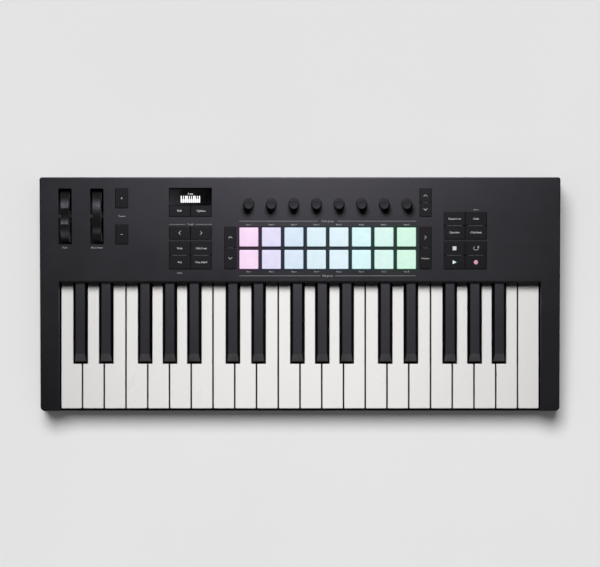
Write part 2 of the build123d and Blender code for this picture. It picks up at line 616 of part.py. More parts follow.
def circuit_boards():
    """The control board with its encoders and switches, the pad sensor board,
    the key contact board with its rubber strip, and the socket board."""
    parts = [panel_block(0, 66.5, 408.0, 91.0, BOARD_TOP - BOARD_T, BOARD_TOP)]
    parts += [encoder_body(x) for x in knob_xs()]
    for group in [*LEFT_GROUPS.values(), *RIGHT_GROUPS.values()]:
        for x, y, _, _ in cap_places(group):
            size = (SWITCH_SIZE, SWITCH_SIZE, BOARD_TOP, BOARD_TOP + SWITCH_H)
            parts.append(panel_block(x, y, *size))
    pads_x = PAD_FIRST_X + PAD_PITCH_X * (PAD_COLUMNS - 1) / 2
    pads_y = sum(PAD_ROWS_Y) / 2
    pad_size = (PAD_PITCH_X * PAD_COLUMNS, 50.0)
    pad_board_low = PAD_BOARD_TOP - BOARD_T
    parts.append(panel_block(pads_x, pads_y, *pad_size, pad_board_low, PAD_BOARD_TOP))
    parts += [panel_rod(x, pads_y, 2.0, BOARD_TOP, pad_board_low) for x in (pads_x - 72, pads_x + 72)]
    low = CHASSIS_Z[1]
    parts.append(block((-250, 250), (-14, 9), (low, low + BOARD_T)))
    parts.append(block((-249, 249), (-5, 5), (low + BOARD_T, low + BOARD_T + 5.0)))
    parts.append(block((-114, -14), (88, 121), (IO_BOARD_Z, IO_BOARD_Z + BOARD_T)))
    return parts


def rear_sockets():
    """USB, five-pin MIDI and pedal sockets, standing on the socket board.

    The MIDI socket is drawn as its back, the collar round its ring groove, and its core.
    """
    board = IO_BOARD_Z + BOARD_T
    face_y = CASE_D / 2
    width, height, depth = USB_SIZE
    usb_z = board + height / 2
    mouth = Plane(origin=(USB_X, face_y - 0.6, usb_z), x_dir=(-1, 0, 0), z_dir=(0, 1, 0)).location
    usb = mouth * extrude(RectangleRounded(width, height, 1.5), -depth)
    usb -= mouth * extrude(RectangleRounded(width - 0.6, height - 0.6, 1.2), -(depth - 1.0))
    usb += mouth * Pos(0, 0, -depth) * extrude(Rectangle(6.6, 0.7), depth - 1.2)

    midi_z = board + 9.0
    floor_y = face_y - 0.5 - MIDI_DEPTH
    midi_x, midi_height = (MIDI_X - 10, MIDI_X + 10), (board, board + 18)
    midi_back = block(midi_x, (face_y - WALL - 18, floor_y), midi_height)
    seat = Plane(origin=(MIDI_X, face_y - 0.5, midi_z), x_dir=(-1, 0, 0), z_dir=(0, 1, 0)).location
    midi_front = block(midi_x, (floor_y, face_y - WALL - 0.2), midi_height)
    midi_front += seat * extrude(Circle(MIDI_HOLE_R - 0.2), -3.0)
    midi_front -= seat * extrude(Circle(MIDI_RING_R), -MIDI_DEPTH)
    midi_core = seat * extrude(Circle(MIDI_CORE_R), -MIDI_DEPTH)
    for k in range(5):
        turn = radians(-90 + 45 * k)
        pin = Pos(4.0 * sin(turn), 4.0 * cos(turn), 0)
        midi_core -= seat * pin * extrude(Circle(0.8), -MIDI_PIN_DEPTH)

    pedal_z = board + 6.5
    pedal = block((PEDAL_X - 6.5, PEDAL_X + 6.5), (face_y - 32, face_y - WALL - 0.2), (board, board + 13))
    bush = Plane(origin=(PEDAL_X, face_y - 0.2, pedal_z), x_dir=(-1, 0, 0), z_dir=(0, 1, 0)).location
    pedal += bush * extrude(Circle(PEDAL_BUSH_R), -5.0)
    pedal -= bush * extrude(Circle(PEDAL_BORE_R), -PEDAL_BORE_L)
    return [usb, midi_back, midi_front, midi_core, pedal]


def main():
    whites, blacks = key_layout()
    for key in whites:
        save(key["name"], white_key(key))
    for key in blacks:
        save(key["name"], black_key(key))
    save("key_chassis", key_chassis(whites, blacks))
    save("key_springs", key_springs(whites, blacks))
    save("top_case", *top_case())
    save("bottom_case", *bottom_case())
    save("rubber_feet", *[foot(x, y) for x, y in FEET])
    save("case_screws", *[case_screw(x, y) for x, y in BOSSES])
    save("pad_mat", pad_mat())
    save("left_buttons", *button_caps(LEFT_GROUPS))
    save("right_buttons", *button_caps(RIGHT_GROUPS))
    for number, x in enumerate(knob_xs(), start=1):
        save(f"encoder_knob_{number}", *knob(x))
    save("pitch_wheel", wheel(WHEEL_SLOT_X[0], 0))
    save("mod_wheel", wheel(WHEEL_SLOT_X[1], MOD_REST_TURN))
    save("wheel_bracket", wheel_bracket())
    save("display_module", *display_module())
    save("circuit_boards", *circuit_boards())
    save("rear_sockets", *rear_sockets())


if __name__ == "__main__":
    main()
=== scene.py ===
"""The looks of a 37-key keyboard controller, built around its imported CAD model.

Everything is in the CAD model's frame: +X to the player's right, +Y away from the
player, +Z up, in metres. Sizes below are in millimetres, and mm() turns them into metres.
"""

import json
import math

import bmesh
import bpy
from mathutils import Matrix, Vector


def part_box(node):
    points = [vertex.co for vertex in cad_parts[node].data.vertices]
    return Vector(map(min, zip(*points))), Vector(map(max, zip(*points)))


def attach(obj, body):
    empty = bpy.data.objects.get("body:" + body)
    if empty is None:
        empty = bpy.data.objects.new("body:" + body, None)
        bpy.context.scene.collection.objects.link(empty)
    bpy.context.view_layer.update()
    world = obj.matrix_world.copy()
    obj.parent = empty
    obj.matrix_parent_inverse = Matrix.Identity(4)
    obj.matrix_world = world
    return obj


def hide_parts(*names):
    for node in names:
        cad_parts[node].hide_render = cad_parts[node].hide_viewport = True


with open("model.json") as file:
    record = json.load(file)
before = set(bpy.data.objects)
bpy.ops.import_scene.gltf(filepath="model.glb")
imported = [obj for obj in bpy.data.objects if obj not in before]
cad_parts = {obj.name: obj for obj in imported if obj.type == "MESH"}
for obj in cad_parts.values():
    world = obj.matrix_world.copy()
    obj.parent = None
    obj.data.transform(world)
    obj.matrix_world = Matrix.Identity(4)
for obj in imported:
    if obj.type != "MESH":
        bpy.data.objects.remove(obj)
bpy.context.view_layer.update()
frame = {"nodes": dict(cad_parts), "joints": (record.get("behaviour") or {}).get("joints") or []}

# ---- what stands over the panel: heights are counted along its normal ----
PAD_TOP, PAD_LOW, PAD_SIDE = 2.0, -4.2, 20.1
PAD_CORNER_R, PAD_EDGE_R, PAD_CROWN = 0.9, 0.55, 0.12
SPILL_INNER, SPILL_OUTER = 20.9, 23.9  # sides of the band on which a pad's spilled light is painted as a glow
SPILL_INNER_R, SPILL_OUTER_R = 0.9, 1.6
# strength of the painted glow that stands in for the pads' light falling on the panel
PAINTED_SPILL_STRENGTH = 0.034
KNOB_LOW, KNOB_HIGH = 0.6, 14.6
KNOB_SKIRT_R, KNOB_BASE_R, KNOB_TOP_R = 6.0, 5.95, 5.1
# the knob's foot and its dished top: a radius, and a height over the low end or a depth under the top
KNOB_FOOT = ((KNOB_SKIRT_R - 0.3, 0.0), (KNOB_SKIRT_R, 0.25), (KNOB_SKIRT_R, 1.0), (KNOB_BASE_R, 1.3))
KNOB_DISH = ((4.2, 0.01), (3.9, 0.04), (3.0, 0.1), (1.7, 0.16), (0.4, 0.18))
KNOB_GRIP_RISE, KNOB_EDGE_R = 1.4, 0.6
KNOB_RIBS, KNOB_RIB_DEPTH, STEPS_PER_RIB = 48, 0.2, 6
EDGE_STEPS = 4  # facets of a rounded edge
BUTTON_TOP = 1.2
DIVIDER_DROP, DIVIDER_W, DIVIDER_H = 0.6, 0.36, 0.75
LONG_DIVIDER, SHORT_DIVIDER = 16.0, 6.0

# ---- printing ----
PRINT_T = 0.05  # thickness of printed ink
LINE_T = 0.8  # width of the printed lines
BAR_ROUNDING = 0.3  # of a bar's narrow side
LABEL_SIZE, BUTTON_LABEL_SIZE, SIDE_LABEL_SIZE, SMALL_LABEL_SIZE = 2.7, 2.9, 2.4, 2.2
LETTER_WEIGHT = 0.008  # of the letters' size
SYMBOL_STROKE, LOOP_STROKE = 0.42, 0.6
CHEVRON_REACH, PLUS_REACH = 1.75, 0.9
STOP_SIDE, RECORD_R = 4.1, 2.25
# how far a name stands behind or in front of what it names
WHEEL_LABEL_DROP, TRACK_LABEL_RISE, LATCH_LABEL_DROP, REDO_LABEL_RISE = 33.4, 8.9, 11.6, 9.6
TRACK_LINE_X, TRACK_LINE_LENGTH = 14.2, 17.6
KNOB_GROUP_DROP, KNOB_GROUP_HALF_GAP = 18.8, 10.3
PAD_GROUP_DROP, PAD_GROUP_HALF_GAP = 5.9, 7.8
BANK_LABEL_DROP, PART_LABEL_DROP = 22.6, 1.6
SCREEN_DROP, SCREEN_SINK = 11.4, 0.08  # from the display's back edge, and under the panel's surface
REAR_LABELS = {"USB": (-95.0, 39.0), "MIDI out": (-65.0, 50.0), "Pedal": (-35.0, 45.0)}  # x and z

# ---- lights ----
# area lights stand at a place and face another, in millimetres; suns shine from a direction;
# spreads and angles are in degrees
DIFFUSE, GLOSSY = "diffuse", "glossy"
KEY_FROM, KEY_AT = (-15, 660, 1290), (0, -60, 40)
KEY_SIZE, KEY_SPREAD, KEY_STRENGTH = 720, 50, 2.9
SHEEN_FROM, SHEEN_AT, SHEEN_SIZE, SHEEN_STRENGTH = (0, 345, 540), (0, 0, 0), 190, 5.4
WHITE_SHEEN_SHARE = 0.25  # of the sheen's strength, on the white keys
CARD_FROM, CARD_AT, CARD_SIZE, CARD_STRENGTH = (-190, -70, 1000), (-112, 95, 60), 90, 0.035
# glossy suns for a few pieces each: where they shine from, their angle and their strength
RIM_SUN = (0, 1.2, 1.0), 24.0, 1.1
LIP_SUN = (0, -6.0, 1.0), 24.0, 0.27
FRONT_SUN = (0, -3.0, 1.0), 70.0, 1.9
FLOOR_KEY_FROM, FLOOR_KEY_ANGLE, FLOOR_KEY_STRENGTH = (-0.12, 0.43, 1.0), 28.0, 2.75
FLOOR_FILL_ANGLE, FLOOR_FILL_STRENGTH = 80, 0.45
AMBIENT = 0.02
BACKDROP_TONE = 0.78
COOL, WARM = (1.0, 0.95, 1.12), (1.0, 0.99, 0.98)
FLOOR_ALBEDO = 0.8
FLOOR_HALF = 6.0  # metres

# ---- camera ----
LENS, SENSOR = 250.0, 36.0
VIEW_WIDTH = 641.5  # what the frame spans at the height of the case's top
VIEW_CENTRE_Y = 11.65
VIEW_PLANE_Z = 53.0

# colours of the lit pads, from the left, as display values
PAD_COLOURS = [
    (253, 223, 251),
    (230, 226, 253),
    (219, 235, 251),
    (223, 243, 252),
    (228, 246, 255),
    (221, 252, 254),
    (221, 252, 244),
    (216, 254, 233),
]


def mm(length):
    return length / 1000.0


# ---- the panel, from the knobs' axes ----
def joint(name):
    return next(j for j in frame["joints"] if j["name"] == name)


KNOB_SPOTS = [Vector(joint(f"encoder_knob_{n}_turn")["pos_m"]) for n in range(1, 9)]
PANEL_NORMAL = Vector(joint("encoder_knob_1_turn")["axis"]).normalized()


def on_panel(x, y, height=0.0):
    """The matrix of a point over (x, y), at a height along the panel's normal."""
    origin = KNOB_SPOTS[0]
    rise = -PANEL_NORMAL.y / PANEL_NORMAL.z
    spot = Vector((x, y, origin.z + rise * (y - origin.y))) + PANEL_NORMAL * height
    along = PANEL_NORMAL.cross(Vector((1, 0, 0)))
    turn = Matrix((Vector((1, 0, 0)), along, PANEL_NORMAL)).transposed()
    return Matrix.Translation(spot) @ turn.to_4x4()


def middle(box):
    return (box[0] + box[1]) / 2


def islands(node):
    """The boxes of a CAD node's separate solids, from the left and then from the back."""
    bm = bmesh.new()
    bm.from_mesh(frame["nodes"][node].data)
    bmesh.ops.remove_doubles(bm, verts=bm.verts, dist=1e-6)
    left, found = set(bm.verts), []
    while left:
        edge = [left.pop()]
        points = []
        while edge:
            vert = edge.pop()
            points.append(vert.co.copy())
            near = {e.other_vert(vert) for e in vert.link_edges} & left
            left -= near
            edge.extend(near)
        low = Vector(min(p[i] for p in points) for i in range(3))
        high = Vector(max(p[i] for p in points) for i in range(3))
        found.append((low, high))
    bm.free()
    return sorted(found, key=lambda box: (round(middle(box).x, 3), -middle(box).y))


# ---- materials ----
class Shader:
    """A Principled material and the nodes that vary it."""

    def __init__(self, name, **values):
        self.material = bpy.data.materials.new(name)
        self.material.use_nodes = True
        self.tree = self.material.node_tree
        self.surface = self.tree.nodes["Principled BSDF"]
        self.coords = self.add("ShaderNodeTexCoord")
        for socket, value in values.items():
            self.surface.inputs[socket.replace("_", " ")].default_value = value

    def add(self, kind, **settings):
        node = self.tree.nodes.new(kind)
        for name, value in settings.items():
            setattr(node, name, value)
        return node

    def link(self, source, target):
        self.tree.links.new(source, target)

    def noise(self, scale, detail=3.0, stretch=(1, 1, 1), roughness=0.55):
        """Noise at a scale in features per metre, stretched along the axes."""
        mapping = self.add("ShaderNodeMapping")
        mapping.inputs["Scale"].default_value = stretch
        self.link(self.coords.outputs["Object"], mapping.inputs["Vector"])
        noise = self.add("ShaderNodeTexNoise")
        noise.inputs["Scale"].default_value = scale
        noise.inputs["Detail"].default_value = detail
        noise.inputs["Roughness"].default_value = roughness
        self.link(mapping.outputs["Vector"], noise.inputs["Vector"])
        return noise.outputs["Fac"]

    def cells(self, scale):
        voronoi = self.add("ShaderNodeTexVoronoi")
        voronoi.inputs["Scale"].default_value = scale
        self.link(self.coords.outputs["Object"], voronoi.inputs["Vector"])
        return voronoi.outputs["Distance"]

    def ramp(self, factor, stops):
        """Maps a factor to colours: stops are (position, colour)."""
        ramp = self.add("ShaderNodeValToRGB")
        elements = ramp.color_ramp.elements
        while len(elements) < len(stops):
            elements.new(0.5)
        for element, (position, colour) in zip(elements, stops):
            element.position = position
            element.color = (*colour, 1.0)
        self.link(factor, ramp.inputs["Fac"])
        return ramp.outputs["Color"]

    def span(self, factor, low, high, start=0.3, end=0.7):
        """Maps a factor from start..end to low..high."""
        span = self.add("ShaderNodeMapRange")
        for socket, value in zip(("From Min", "From Max", "To Min", "To Max"), (start, end, low, high)):
            span.inputs[socket].default_value = value
        self.link(factor, span.inputs["Value"])
        return span.outputs["Result"]

    def math(self, operation, *values):
        node = self.add("ShaderNodeMath", operation=operation)
        for socket, value in zip(node.inputs, values):
            if isinstance(value, (int, float)):
                socket.default_value = value
            else:
                self.link(value, socket)
        return node.outputs["Value"]

    def colour(self, source):
        self.link(source, self.surface.inputs["Base Color"])

    def rough(self, source):
        self.link(source, self.surface.inputs["Roughness"])

    def bump(self, source, distance):
        """Adds relief, in millimetres, over any relief there already is."""
        bump = self.add("ShaderNodeBump")
        bump.inputs["Distance"].default_value = mm(distance)
        self.link(source, bump.inputs["Height"])
        normal = self.surface.inputs["Normal"]
        if normal.is_linked:
            self.link(normal.links[0].from_socket, bump.inputs["Normal"])
        self.link(bump.outputs["Normal"], normal)


def grey(value, blue=1.0):
    return (value, value, value * blue)


def moulded_plastic(name, tone, rough, grain=0.02):
    """Spark-eroded moulded plastic: a fine grain, faint mottling and handled patches."""
    s = Shader(name)
    wear, grain_size = 0.07, 0.45
    s.colour(s.ramp(s.noise(22, 4), [(0.3, grey(tone * 0.86, 1.1)), (0.7, grey(tone * 1.12, 1.1))]))
    s.rough(s.span(s.noise(9, 5, roughness=0.65), rough - wear, rough + wear))
    s.bump(s.cells(1000 / grain_size), grain)
    s.bump(s.noise(900 / grain_size, 2), grain * 0.6)
    return s.material


def black_key_plastic():
    """Satin black plastic: the mould leaves the steep sides duller than the top and the slope."""
    s = Shader("black_key_plastic")
    s.colour(s.ramp(s.noise(22, 4), [(0.3, grey(0.006, 1.1)), (0.7, grey(0.008, 1.1))]))
    facing = s.add("ShaderNodeNewGeometry")
    parts = s.add("ShaderNodeSeparateXYZ")
    s.link(facing.outputs["Normal"], parts.inputs["Vector"])
    dull = s.span(parts.outputs["Z"], 0.5, 0.0, start=0.25, end=0.6)
    s.rough(s.math("ADD", s.span(s.noise(9, 5, roughness=0.65), 0.42, 0.5), dull))
    s.link(s.math("SUBTRACT", 0.5, dull), s.surface.inputs["Specular IOR Level"])
    s.bump(s.cells(3300), 0.012)
    return s.material


def key_plastic(name, tone, tint, rough):
    """Polished key plastic: nearly even, with a faint swirl and finger-worn gloss along the playing area."""
    s = Shader(name, IOR=1.5, Coat_Weight=0.25, Coat_Roughness=0.12)
    stops = [(0.25, tuple(tone * 0.975 * t for t in tint)), (0.75, tuple(tone * 1.02 * t for t in tint))]
    s.colour(s.ramp(s.noise(14, 5, stretch=(1, 0.25, 1)), stops))
    s.rough(s.span(s.noise(30, 6, stretch=(1, 0.4, 1), roughness=0.7), rough - 0.05, rough + 0.07))
    s.bump(s.noise(420, 3), 0.006)
    return s.material


def rubber(name, tone, rough, grain=0.03, gloss=0.25):
    """Soft-touch rubber: matte, a little sheen, a grain finer than the plastic's."""
    s = Shader(name, Sheen_Weight=0.03, Sheen_Roughness=0.5, Specular_IOR_Level=gloss)
    s.colour(s.ramp(s.noise(60, 5), [(0.3, grey(tone * 0.8, 1.05)), (0.7, grey(tone * 1.2, 1.05))]))
    s.rough(s.span(s.noise(40, 4), rough - 0.06, rough + 0.06))
    s.bump(s.noise(2600, 2), grain)
    s.bump(s.cells(1500), grain * 0.5)
    return s.material


def metal(name, tone, rough, stretch):
    """Drawn or turned metal with fine lines along one way."""
    s = Shader(name, Metallic=1.0)
    s.colour(s.ramp(s.noise(300, 4, stretch), [(0.3, grey(tone * 0.8)), (0.7, grey(tone * 1.1))]))
    s.rough(s.span(s.noise(500, 3, stretch), rough - 0.08, rough + 0.1))
    s.bump(s.noise(1200, 2, stretch), 0.01)
    return s.material


def lit_silicone(name, shown):
    """Milky silicone lit from below, paler in the middle and deeper in colour at the rounded rim."""
    linear = tuple((c / 255.0) ** 2.2 for c in shown)
    s = Shader(name, Roughness=0.42, Subsurface_Weight=0.25, Subsurface_Scale=0.002, IOR=1.42)
    parts = s.add("ShaderNodeSeparateXYZ")
    s.link(s.coords.outputs["Generated"], parts.inputs["Vector"])
    away = [s.math("ABSOLUTE", s.math("SUBTRACT", parts.outputs[axis], 0.5)) for axis in ("X", "Y")]
    edge = s.math("MAXIMUM", *away)
    deep = tuple(0.9 * c ** 1.5 for c in linear)
    pale = tuple(0.1 + 0.9 * c for c in linear)
    glow = s.ramp(edge, [(0.0, pale), (0.22, linear), (0.46, linear), (0.49, deep)])
    s.link(glow, s.surface.inputs["Emission Color"])
    s.surface.inputs["Emission Strength"].default_value = 0.63
    low, high = (tuple(share * c for c in linear) for share in (0.30, 0.36))
    s.colour(s.ramp(s.noise(160, 4), [(0.3, low), (0.7, high)]))
    s.bump(s.noise(1500, 2), 0.01)
    return s.material


def painted_pad_glow(name, shown):
    """Panel plastic with a pad's spilled light painted on as a faint glow in the pad's colour."""
    s = Shader(name, Roughness=0.6, Specular_IOR_Level=0.15)
    rich = tuple(((c / 255.0) ** 2.2) ** 4 for c in shown)
    faint = tuple(0.8 * c for c in rich)
    s.colour(s.ramp(s.noise(22, 4), [(0.3, grey(0.005)), (0.7, grey(0.007))]))
    # painted light: an emission in the pad's colour stands in for the pad's light falling on the panel
    glow = s.ramp(s.noise(90, 3), [(0.3, faint), (0.7, rich)])
    s.link(glow, s.surface.inputs["Emission Color"])
    s.surface.inputs["Emission Strength"].default_value = PAINTED_SPILL_STRENGTH
    s.bump(s.cells(2200), 0.03)
    return s.material


def ink(name, tone, glow=0.0, colour=(1, 1, 1)):
    """Printed ink: matte, slightly uneven where the screen laid it down."""
    s = Shader(name, Roughness=0.6)
    low, high = (tuple(tone * k * c for c in colour) for k in (0.88, 1.0))
    s.colour(s.ramp(s.noise(700, 3), [(0.35, low), (0.65, high)]))
    if glow:
        s.surface.inputs["Emission Color"].default_value = (*colour, 1.0)
        s.surface.inputs["Emission Strength"].default_value = glow
    s.bump(s.noise(1800, 2), 0.01)
    return s.material


def window_glass():
    """A glossy dark window with faint dust and a fingerprint's haze."""
    s = Shader("window_glass", IOR=1.52)
    s.colour(s.ramp(s.noise(40, 2), [(0.4, grey(0.0003)), (0.6, grey(0.0006, 1.2))]))
    s.rough(s.span(s.noise(55, 5, roughness=0.7), 0.05, 0.14))
    return s.material


def board_material():
    """Green solder mask over copper tracks, with the parts on it in black and metal tones."""
    s = Shader("solder_mask", Coat_Weight=0.3, Coat_Roughness=0.2)
    brick = s.add("ShaderNodeTexBrick", offset=0.5)
    brick.inputs["Scale"].default_value = 160
    brick.inputs["Mortar Size"].default_value = 0.012
    brick.inputs["Color1"].default_value = (0.008, 0.06, 0.03, 1)
    brick.inputs["Color2"].default_value = (0.01, 0.075, 0.036, 1)
    brick.inputs["Mortar"].default_value = (0.03, 0.16, 0.08, 1)
    s.link(s.coords.outputs["Object"], brick.inputs["Vector"])
    s.colour(brick.outputs["Color"])
    s.rough(s.span(s.noise(200, 3), 0.3, 0.5))
    s.bump(brick.outputs["Fac"], 0.02)
    return s.material


def socket_material(metal_left_of):
    """Black socket bodies, and drawn steel on the shell left of a given X."""
    s = Shader("socket_bodies")
    parts = s.add("ShaderNodeSeparateXYZ")
    s.link(s.coords.outputs["Object"], parts.inputs["Vector"])
    steel = s.math("LESS_THAN", parts.outputs["X"], metal_left_of)
    s.colour(s.ramp(steel, [(0.0, grey(0.014)), (1.0, grey(0.6))]))
    s.link(steel, s.surface.inputs["Metallic"])
    s.rough(s.span(s.noise(300, 3), 0.32, 0.5))
    s.bump(s.noise(1500, 2), 0.01)
    return s.material


def wheel_rubber():
    """The wheels' soft grip: matte, polished a little by the thumb along the rim's middle."""
    s = Shader("wheel_rubber", Sheen_Weight=0.1, Specular_IOR_Level=0.5)
    s.colour(s.ramp(s.noise(70, 5), [(0.3, grey(0.006, 1.08)), (0.7, grey(0.009, 1.08))]))
    s.rough(s.span(s.noise(90, 5, stretch=(3, 1, 1)), 0.36, 0.5))
    s.bump(s.noise(1800, 2, stretch=(1, 0.3, 0.3)), 0.03)
    return s.material


def paint_cad(material, nodes):
    for node in nodes:
        for slot in frame["nodes"][node].material_slots:
            slot.material = material


# ---- mesh building ----
def piece(name, bm, material, body, sharp=35.0):
    """Turns a bmesh into a piece that rides on a body."""
    bmesh.ops.recalc_face_normals(bm, faces=bm.faces)
    mesh = bpy.data.meshes.new(name)
    bm.to_mesh(mesh)
    bm.free()
    mesh.materials.append(material)
    mesh.shade_smooth()
    mesh.set_sharp_from_angle(angle=math.radians(sharp))
    shown = bpy.data.objects.new(name, mesh)
    bpy.context.scene.collection.objects.link(shown)
    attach(shown, body)
    return shown


def rounded_ring(width, depth, radius, steps=5):
    """The points of a rounded rectangle, anticlockwise, in millimetres."""
    radius = max(min(radius, width / 2, depth / 2), 0.01)
    points = []
    for corner, (sx, sy) in enumerate(((1, 1), (-1, 1), (-1, -1), (1, -1))):
        for step in range(steps + 1):
            turn = math.radians(90 * (corner + step / steps))
            x = sx * (width / 2 - radius) + radius * math.cos(turn)
            y = sy * (depth / 2 - radius) + radius * math.sin(turn)
            points.append((x, y))
    return points


def vertex_rows(bm, matrix, rings):
    """A row of vertices for each ring: (points in mm, height in mm)."""
    rows = []
    for points, height in rings:
        spots = [matrix @ Vector((mm(x), mm(y), mm(height))) for x, y in points]
        rows.append([bm.verts.new(spot) for spot in spots])
    return rows


def bridge(bm, low, high):
    """Faces between two rows with as many vertices."""
    for i in range(len(low)):
        j = (i + 1) % len(low)
        bm.faces.new((low[i], low[j], high[j], high[i]))


def skin(bm, matrix, rings):
    """Joins rings, lowest first, and closes both ends."""
    rows = vertex_rows(bm, matrix, rings)
    for low, high in zip(rows, rows[1:]):
        bridge(bm, low, high)
    bm.faces.new(reversed(rows[0]))
    bm.faces.new(rows[-1])


def soft_block(bm, matrix, width, depth, corner, low, high, edge, crown):
    """A block with rounded corners and a rounded, slightly crowned top."""
    rings = [(rounded_ring(width, depth, corner), low)]
    for step in range(EDGE_STEPS + 1):
        turn = math.radians(90 * step / EDGE_STEPS)
        inset = edge * (1 - math.cos(turn))
        ring = rounded_ring(width - 2 * inset, depth - 2 * inset, corner - inset)
        rings.append((ring, high - edge + edge * math.sin(turn)))
    for share in (0.8, 0.55, 0.3, 0.1):
        ring = rounded_ring((width - 2 * edge) * share, (depth - 2 * edge) * share, corner * share)
        rings.append((ring, high + crown * (1 - share ** 2)))
    skin(bm, matrix, rings)


def flat_shape(bm, matrix, points, thickness=PRINT_T):
    skin(bm, matrix, [(points, 0.0), (points, thickness)])


def band(bm, matrix, outer, inner):
    """A flat closed band between two outlines with as many points."""
    rows = vertex_rows(bm, matrix, ((inner, 0.0), (outer, 0.0), (outer, PRINT_T), (inner, PRINT_T)))
    for low, high in zip(rows, rows[1:] + rows[:1]):
        bridge(bm, low, high)


def bar(bm, matrix, width, depth, thickness=PRINT_T):
    flat_shape(bm, matrix, rounded_ring(width, depth, min(width, depth) * BAR_ROUNDING, 2), thickness)


def moved(matrix, x, y):
    return matrix @ Matrix.Translation((mm(x), mm(y), 0))


def stroke(bm, matrix, points, width=SYMBOL_STROKE):
    """Straight strokes of ink through the points, in millimetres."""
    for (x0, y0), (x1, y1) in zip(points, points[1:]):
        turn = Matrix.Rotation(math.atan2(y1 - y0, x1 - x0), 4, "Z")
        place = moved(matrix, (x0 + x1) / 2, (y0 + y1) / 2) @ turn
        bar(bm, place, math.hypot(x1 - x0, y1 - y0) + width, width)


def words(bm, matrix, text, size=LABEL_SIZE):
    """Plain lettering, centred."""
    curve = bpy.data.curves.new("words", "FONT")
    curve.body = text
    curve.size = mm(size)
    curve.align_x = "CENTER"
    curve.align_y = "CENTER"
    curve.extrude = mm(PRINT_T / 2)
    curve.offset = mm(LETTER_WEIGHT * size)
    curve.resolution_u = 3
    holder = bpy.data.objects.new("words", curve)
    mesh = bpy.data.meshes.new_from_object(holder)
    mesh.transform(matrix @ Matrix.Translation((0, 0, mm(PRINT_T / 2))))
    bm.from_mesh(mesh)
    bpy.data.objects.remove(holder)
    bpy.data.curves.remove(curve)
    bpy.data.meshes.remove(mesh)


def circle(radius, steps=32):
    turns = [2 * math.pi * i / steps for i in range(steps)]
    return [(radius * math.cos(t), radius * math.sin(t)) for t in turns]


# ---- pads ----
def make_pads():
    """A silicone pad in each opening, on the mat's body, and round it a band with the pad's spilled light
    painted on.
    """
    spill_outer = rounded_ring(SPILL_OUTER, SPILL_OUTER, SPILL_OUTER_R)
    spill_inner = rounded_ring(SPILL_INNER, SPILL_INNER, SPILL_INNER_R)
    profile = {"low": PAD_LOW, "high": PAD_TOP, "edge": PAD_EDGE_R, "crown": PAD_CROWN}
    for column, row, x, y in pad_spots():
        bm = bmesh.new()
        soft_block(bm, on_panel(x, y), PAD_SIDE, PAD_SIDE, PAD_CORNER_R, **profile)
        pad = piece(f"pad_{row}_{column}", bm, PAD_MATERIALS[column - 1], "pads", sharp=60)
        if (column, row) == (1, 1):
            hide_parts("pad_mat")
        # a thin band round the pad, with the pad's spilled light painted on it as a glow
        bm = bmesh.new()
        band(bm, on_panel(x, y), spill_outer, spill_inner)
        piece(f"painted_pad_spill_{row}_{column}", bm, PAINTED_SPILL_MATERIALS[column - 1], "case")


def pad_spots():
    """Column, row and place of each pad: columns stand under the knobs, rows split the mat's depth."""
    low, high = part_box("pad_mat")
    pitch = KNOB_SPOTS[1].x - KNOB_SPOTS[0].x
    centre = middle((low, high)).y
    found = []
    for row, side in ((1, 1), (2, -1)):
        for column, spot in enumerate(KNOB_SPOTS, start=1):
            found.append((column, row, spot.x, centre + side * pitch / 2 * PANEL_NORMAL.z))
    return found


# ---- knobs ----
def make_knobs():
    """Ribbed rubber caps with dished tops."""
    steps = KNOB_RIBS * STEPS_PER_RIB
    for number, spot in enumerate(KNOB_SPOTS, start=1):
        bm = bmesh.new()
        rings = [(circle(radius, steps), KNOB_LOW + rise) for radius, rise in KNOB_FOOT]
        for share in (0.0, 0.04, 0.5, 0.93):
            radius = KNOB_BASE_R + (KNOB_TOP_R - KNOB_BASE_R) * share
            height = KNOB_LOW + KNOB_GRIP_RISE + (KNOB_HIGH - KNOB_EDGE_R - KNOB_LOW - KNOB_GRIP_RISE) * share
            depth = KNOB_RIB_DEPTH if share else 0.0
            rings.append((ribbed_circle(radius, steps, depth), height))
        for step in range(EDGE_STEPS + 1):
            turn = math.radians(90 * step / EDGE_STEPS)
            radius = KNOB_TOP_R - KNOB_EDGE_R * (1 - math.cos(turn))
            depth = KNOB_RIB_DEPTH * math.cos(turn)
            height = KNOB_HIGH - KNOB_EDGE_R + KNOB_EDGE_R * math.sin(turn)
            rings.append((ribbed_circle(radius, steps, depth), height))
        for radius, dip in KNOB_DISH:
            rings.append((circle(radius, steps), KNOB_HIGH - dip))
        skin(bm, on_panel(spot.x, spot.y), rings)
        cap = piece(f"knob_cap_{number}", bm, MATERIALS["knob"], f"encoder_knob_{number}", sharp=50)
        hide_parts(f"encoder_knob_{number}")


def ribbed_circle(radius, steps, depth):
    points = []
    for i in range(steps):
        turn = 2 * math.pi * i / steps
        wave = (1 - math.cos(KNOB_RIBS * turn)) / 2
        reach = radius - depth * wave ** 2
        points.append((reach * math.cos(turn), reach * math.sin(turn)))
    return points


